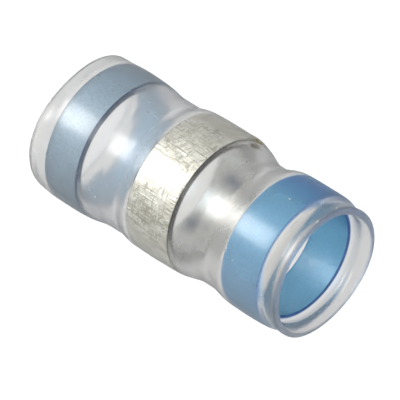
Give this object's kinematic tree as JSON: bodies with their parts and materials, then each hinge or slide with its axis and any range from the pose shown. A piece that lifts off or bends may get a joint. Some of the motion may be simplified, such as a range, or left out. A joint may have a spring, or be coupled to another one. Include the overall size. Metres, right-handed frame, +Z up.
{
  "type": "solder seal wire connector",
  "caption": "Clear heat-shrink sleeve, partly drawn down over a solder ring at its middle and a blue sealing ring near each open end, for splicing and sealing stripped wires.",
  "frame": {"origin": "centre of the lower end's cut face, where the sleeve stands", "axes": "+Z up along the bore, from the end that is farther in the picture to the nearer one; X and Y across the bore"},
  "size_m": [0.0078, 0.0078, 0.0165],
  "materials": {
    "shrink_sleeve": "clear heat-shrink film with a faint milky haze, soft gloss and shallow wrinkles",
    "solder_ring": "bright tin-lead solder with fine rolling scratches and a little clear amber flux",
    "seal_ring_bottom": "translucent blue thermoplastic, satin",
    "seal_ring_top": "translucent blue thermoplastic, satin"
  },
  "bodies": {
    "root": {"shrink_sleeve": "shrink_sleeve", "solder_ring": "solder_ring", "seal_ring_bottom": "seal_ring_bottom", "seal_ring_top": "seal_ring_top"}
  },
  "joints": []
}
